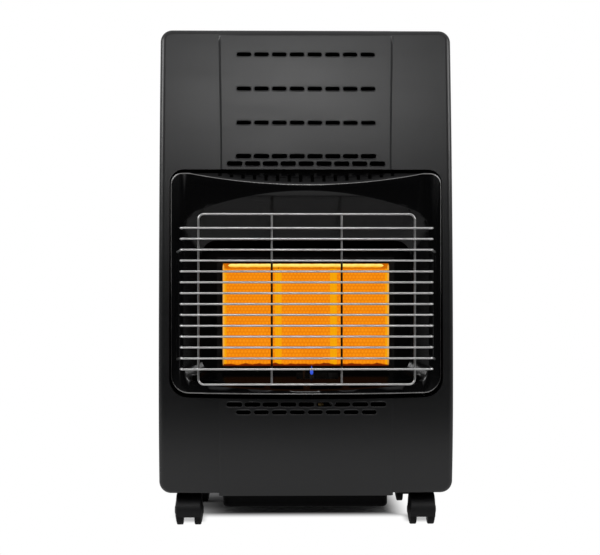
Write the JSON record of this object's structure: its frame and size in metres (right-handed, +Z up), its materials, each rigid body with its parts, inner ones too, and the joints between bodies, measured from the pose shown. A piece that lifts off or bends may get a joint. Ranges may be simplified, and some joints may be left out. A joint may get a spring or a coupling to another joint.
{
  "type": "gas cabinet heater",
  "caption": "Cabinet heater for bottled gas: curved sheet-steel cabinet on swivel casters, ceramic infrared burner behind a wire guard, tap and igniter in a well on top.",
  "frame": {"origin": "on the floor under the middle of the bounding box", "axes": "+Z up, the burner faces -Y, +X to the right as seen by someone in front of it"},
  "size_m": [0.42, 0.4, 0.717],
  "materials": {
    "grey_powder": "satin powder coat",
    "gloss_black": "glossy enamel",
    "black_enamel": "satin enamel",
    "plated_sheet": "aluminised sheet",
    "heated_steel": "heat-tinted sheet",
    "bright_wire": "bright plated wire",
    "glowing_ceramic": "perforated ceramic, lit",
    "white_ceramic": "glazed",
    "black_plastic": "moulded, fine grain",
    "red_plastic": "moulded",
    "wheel_plastic": "moulded",
    "steel": "zinc plated",
    "brass": "machined",
    "copper": "drawn copper tube"
  },
  "bodies": {
    "cabinet": {"front_panel": "grey_powder", "side_panel_left": "grey_powder", "side_panel_right": "grey_powder", "handle_cups": "black_plastic", "top_panel": "grey_powder", "control_panel": "black_plastic", "base_plate": "black_enamel", "partition_panel": "plated_sheet", "top_deflector": "plated_sheet", "rear_panel_upper": "grey_powder", "rear_cover_pins": "steel", "rear_cover_clips": "steel", "burner_surround": "gloss_black", "guard_bars": "bright_wire", "guard_loop": "bright_wire", "guard_uprights": "bright_wire", "guard_hooks": "bright_wire", "plaque_left": "glowing_ceramic", "plaque_centre": "glowing_ceramic", "plaque_right": "glowing_ceramic", "burner_left": "plated_sheet", "burner_centre": "plated_sheet", "burner_right": "plated_sheet", "plaque_frame": "heated_steel", "burner_housing": "heated_steel", "lower_reflector": "heated_steel", "pilot_burner": "heated_steel", "thermocouple": "copper", "spark_electrode": "white_ceramic", "injectors": "brass", "injector_bracket": "plated_sheet", "gas_tap": "brass", "hose_nozzle": "brass", "piezo_igniter": "black_plastic", "burner_gas_pipes": "copper", "pilot_pipe": "copper", "thermocouple_lead": "copper", "ignition_lead": "black_plastic", "rear_screws": "steel", "caster_stems": "steel"},
    "rear_door": {"rear_cover": "grey_powder"},
    "tap_spindle": {"tap_plug": "brass"},
    "knob": {"control_knob": "black_plastic"},
    "igniter_push": {"igniter_button": "red_plastic"},
    "caster_front_left": {"caster_hood_front_left": "black_plastic", "caster_axle_front_left": "steel"},
    "wheel_front_left_left": {"caster_wheels_front_left_left": "wheel_plastic"},
    "wheel_front_left_right": {"caster_wheels_front_left_right": "wheel_plastic"},
    "caster_front_right": {"caster_hood_front_right": "black_plastic", "caster_axle_front_right": "steel"},
    "wheel_front_right_left": {"caster_wheels_front_right_left": "wheel_plastic"},
    "wheel_front_right_right": {"caster_wheels_front_right_right": "wheel_plastic"},
    "caster_rear_left": {"caster_hood_rear_left": "black_plastic", "caster_axle_rear_left": "steel"},
    "wheel_rear_left_left": {"caster_wheels_rear_left_left": "wheel_plastic"},
    "wheel_rear_left_right": {"caster_wheels_rear_left_right": "wheel_plastic"},
    "caster_rear_right": {"caster_hood_rear_right": "black_plastic", "caster_axle_rear_right": "steel"},
    "wheel_rear_right_left": {"caster_wheels_rear_right_left": "wheel_plastic"},
    "wheel_rear_right_right": {"caster_wheels_rear_right_right": "wheel_plastic"}
  },
  "joints": [
    {"name": "rear_cover_tilt", "type": "hinge", "parent": "cabinet", "child": "rear_door", "pos_m": [0, 0.191, 0.0615], "axis": [-1, 0, 0], "range_deg": [0, 75]},
    {"name": "tap_turn", "type": "hinge", "parent": "cabinet", "child": "tap_spindle", "pos_m": [0.148, 0.112, 0.685], "axis": [0, 0, -1], "range_deg": [0, 220]},
    {"name": "knob_press", "type": "slide", "parent": "tap_spindle", "child": "knob", "axis": [0, 0, -1], "range_m": [0, 0.004], "stiffness_N_per_m": 800, "springref_m": -0.002},
    {"name": "igniter_press", "type": "slide", "parent": "cabinet", "child": "igniter_push", "axis": [0, 0, -1], "range_m": [0, 0.006], "stiffness_N_per_m": 600, "springref_m": -0.002},
    {"name": "swivel_front_left", "type": "hinge", "parent": "cabinet", "child": "caster_front_left", "pos_m": [-0.169, -0.092, 0.044], "axis": [0, 0, 1], "continuous": true},
    {"name": "roll_front_left_left", "type": "hinge", "parent": "caster_front_left", "child": "wheel_front_left_left", "pos_m": [-0.182, -0.11, 0.0215], "axis": [1, 0, 0], "continuous": true},
    {"name": "roll_front_left_right", "type": "hinge", "parent": "caster_front_left", "child": "wheel_front_left_right", "pos_m": [-0.156, -0.11, 0.0215], "axis": [1, 0, 0], "continuous": true},
    {"name": "swivel_front_right", "type": "hinge", "parent": "cabinet", "child": "caster_front_right", "pos_m": [0.169, -0.092, 0.044], "axis": [0, 0, 1], "continuous": true},
    {"name": "roll_front_right_left", "type": "hinge", "parent": "caster_front_right", "child": "wheel_front_right_left", "pos_m": [0.156, -0.11, 0.0215], "axis": [1, 0, 0], "continuous": true},
    {"name": "roll_front_right_right", "type": "hinge", "parent": "caster_front_right", "child": "wheel_front_right_right", "pos_m": [0.182, -0.11, 0.0215], "axis": [1, 0, 0], "continuous": true},
    {"name": "swivel_rear_left", "type": "hinge", "parent": "cabinet", "child": "caster_rear_left", "pos_m": [-0.169, 0.148, 0.044], "axis": [0, 0, 1], "continuous": true},
    {"name": "roll_rear_left_left", "type": "hinge", "parent": "caster_rear_left", "child": "wheel_rear_left_left", "pos_m": [-0.182, 0.13, 0.0215], "axis": [1, 0, 0], "continuous": true},
    {"name": "roll_rear_left_right", "type": "hinge", "parent": "caster_rear_left", "child": "wheel_rear_left_right", "pos_m": [-0.156, 0.13, 0.0215], "axis": [1, 0, 0], "continuous": true},
    {"name": "swivel_rear_right", "type": "hinge", "parent": "cabinet", "child": "caster_rear_right", "pos_m": [0.169, 0.148, 0.044], "axis": [0, 0, 1], "continuous": true},
    {"name": "roll_rear_right_left", "type": "hinge", "parent": "caster_rear_right", "child": "wheel_rear_right_left", "pos_m": [0.156, 0.13, 0.0215], "axis": [1, 0, 0], "continuous": true},
    {"name": "roll_rear_right_right", "type": "hinge", "parent": "caster_rear_right", "child": "wheel_rear_right_right", "pos_m": [0.182, 0.13, 0.0215], "axis": [1, 0, 0], "continuous": true}
  ]
}
